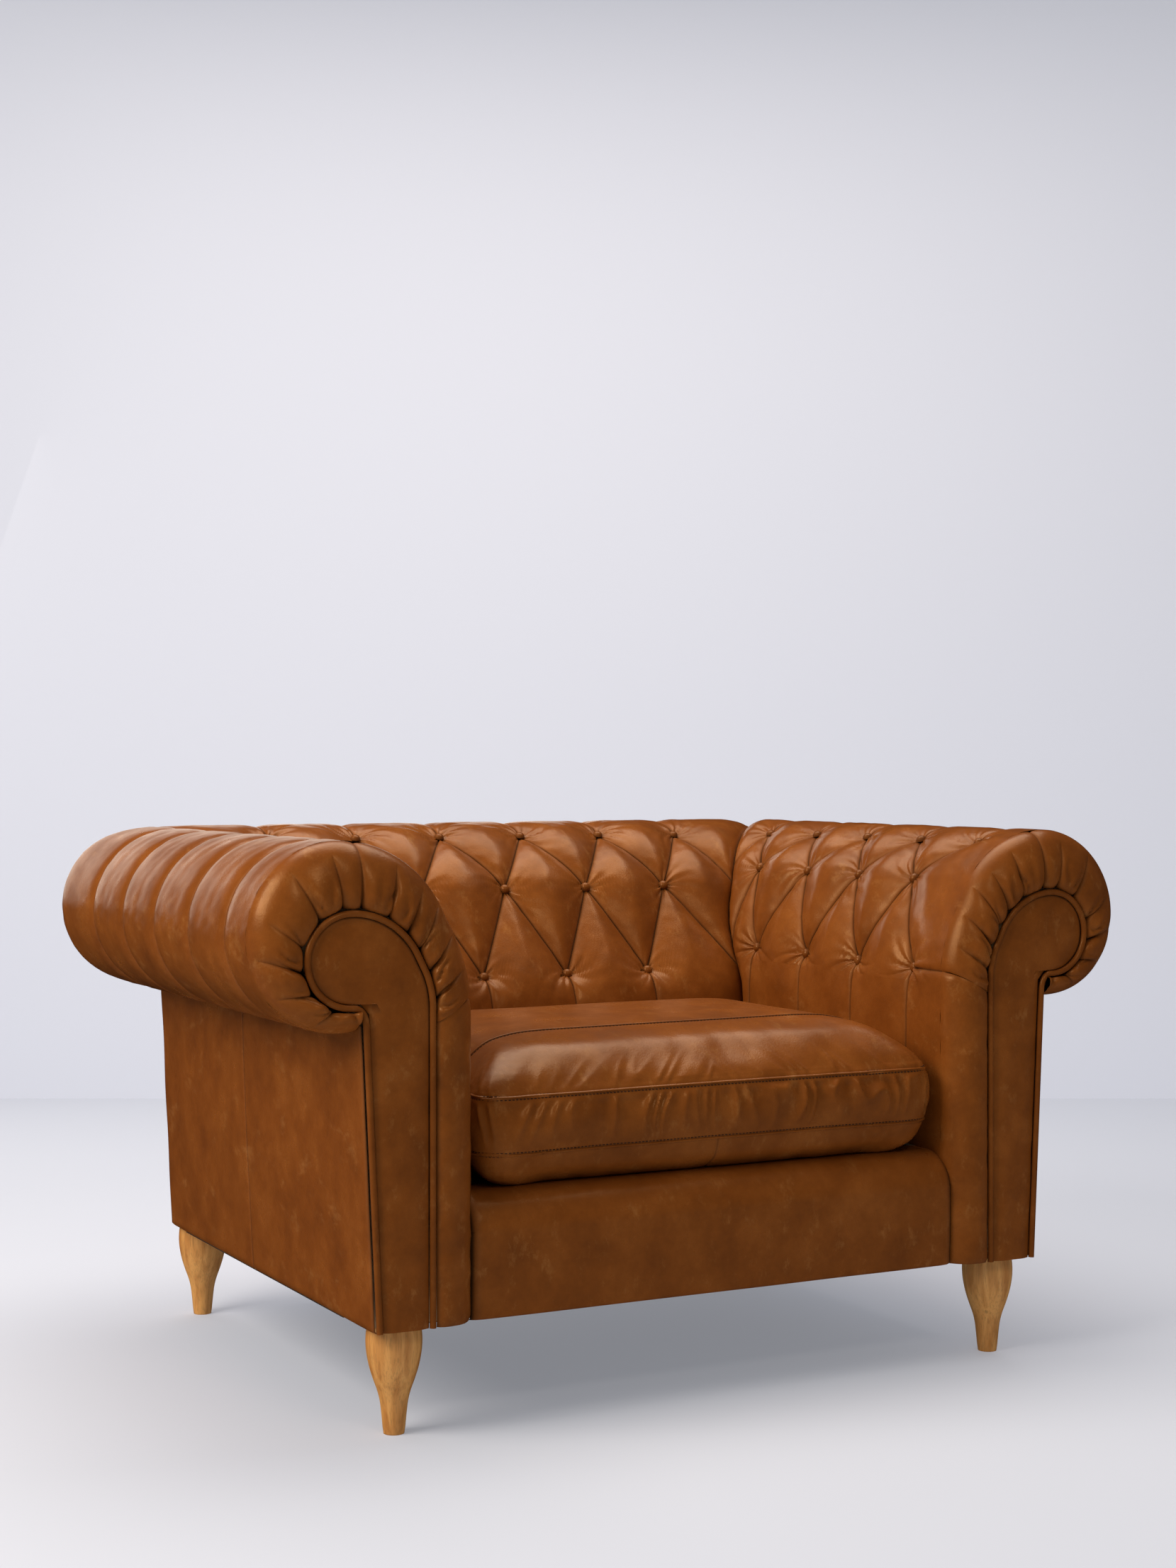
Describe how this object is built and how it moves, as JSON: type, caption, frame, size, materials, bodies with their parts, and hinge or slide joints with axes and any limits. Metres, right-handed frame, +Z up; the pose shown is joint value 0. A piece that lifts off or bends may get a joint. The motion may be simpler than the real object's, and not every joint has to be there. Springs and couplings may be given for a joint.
{
  "type": "snuggler chair",
  "caption": "Wide low leather armchair with deep-buttoned scroll arms and back at one height, a loose boxed seat cushion and turned tapering wooden legs.",
  "frame": {"origin": "on the floor under the middle of the overall box", "axes": "+X to the right seen from the front, -Y out of the front, +Z up"},
  "size_m": [1.346, 0.976, 0.757],
  "materials": {
    "leather": "satin, lightly distressed",
    "button_leather": "satin",
    "piping_leather": "satin",
    "leg_wood": "matt lacquer",
    "frame_wood": "sawn",
    "foam": "open-cell foam and felt",
    "webbing": "woven",
    "lining": "plain woven cloth",
    "steel": "zinc plated"
  },
  "bodies": {
    "chair": {"back_buttons": "button_leather", "back_cover": "leather", "back_pad": "foam", "back_tack_rail": "frame_wood", "back_top_rail": "frame_wood", "centre_rail": "frame_wood", "cross_rail": "frame_wood", "dust_cover": "lining", "front_border_cover": "leather", "front_border_pad": "foam", "front_rail": "frame_wood", "left_arm_border": "leather", "left_arm_buttons": "button_leather", "left_arm_cover": "leather", "left_arm_facing": "leather", "left_arm_pad": "foam", "left_arm_tack_rail": "frame_wood", "left_arm_top_rail": "frame_wood", "left_back_board": "frame_wood", "left_facing_piping": "piping_leather", "left_front_arm_board": "frame_wood", "left_front_leg": "leg_wood", "left_front_leg_block": "frame_wood", "left_outer_arm_panel": "leather", "left_rear_arm_board": "frame_wood", "left_rear_leg": "leg_wood", "left_rear_leg_block": "frame_wood", "left_side_rail": "frame_wood", "leg_bolts": "steel", "middle_back_board": "frame_wood", "outer_back_panel": "leather", "platform_lining": "lining", "platform_pad": "foam", "rear_rail": "frame_wood", "right_arm_border": "leather", "right_arm_buttons": "button_leather", "right_arm_cover": "leather", "right_arm_facing": "leather", "right_arm_pad": "foam", "right_arm_tack_rail": "frame_wood", "right_arm_top_rail": "frame_wood", "right_back_board": "frame_wood", "right_facing_piping": "piping_leather", "right_front_arm_board": "frame_wood", "right_front_leg": "leg_wood", "right_front_leg_block": "frame_wood", "right_outer_arm_panel": "leather", "right_rear_arm_board": "frame_wood", "right_rear_leg": "leg_wood", "right_rear_leg_block": "frame_wood", "right_side_rail": "frame_wood", "seat_felt": "foam", "webbing_crosswise": "webbing", "webbing_lengthwise": "webbing"},
    "seat_cushion": {"cushion_cover": "leather", "cushion_core": "foam"}
  },
  "joints": [
    {"name": "seat_cushion_lift", "type": "slide", "parent": "chair", "child": "seat_cushion", "axis": [0, 0, 1], "range_m": [0, 0.45]}
  ]
}
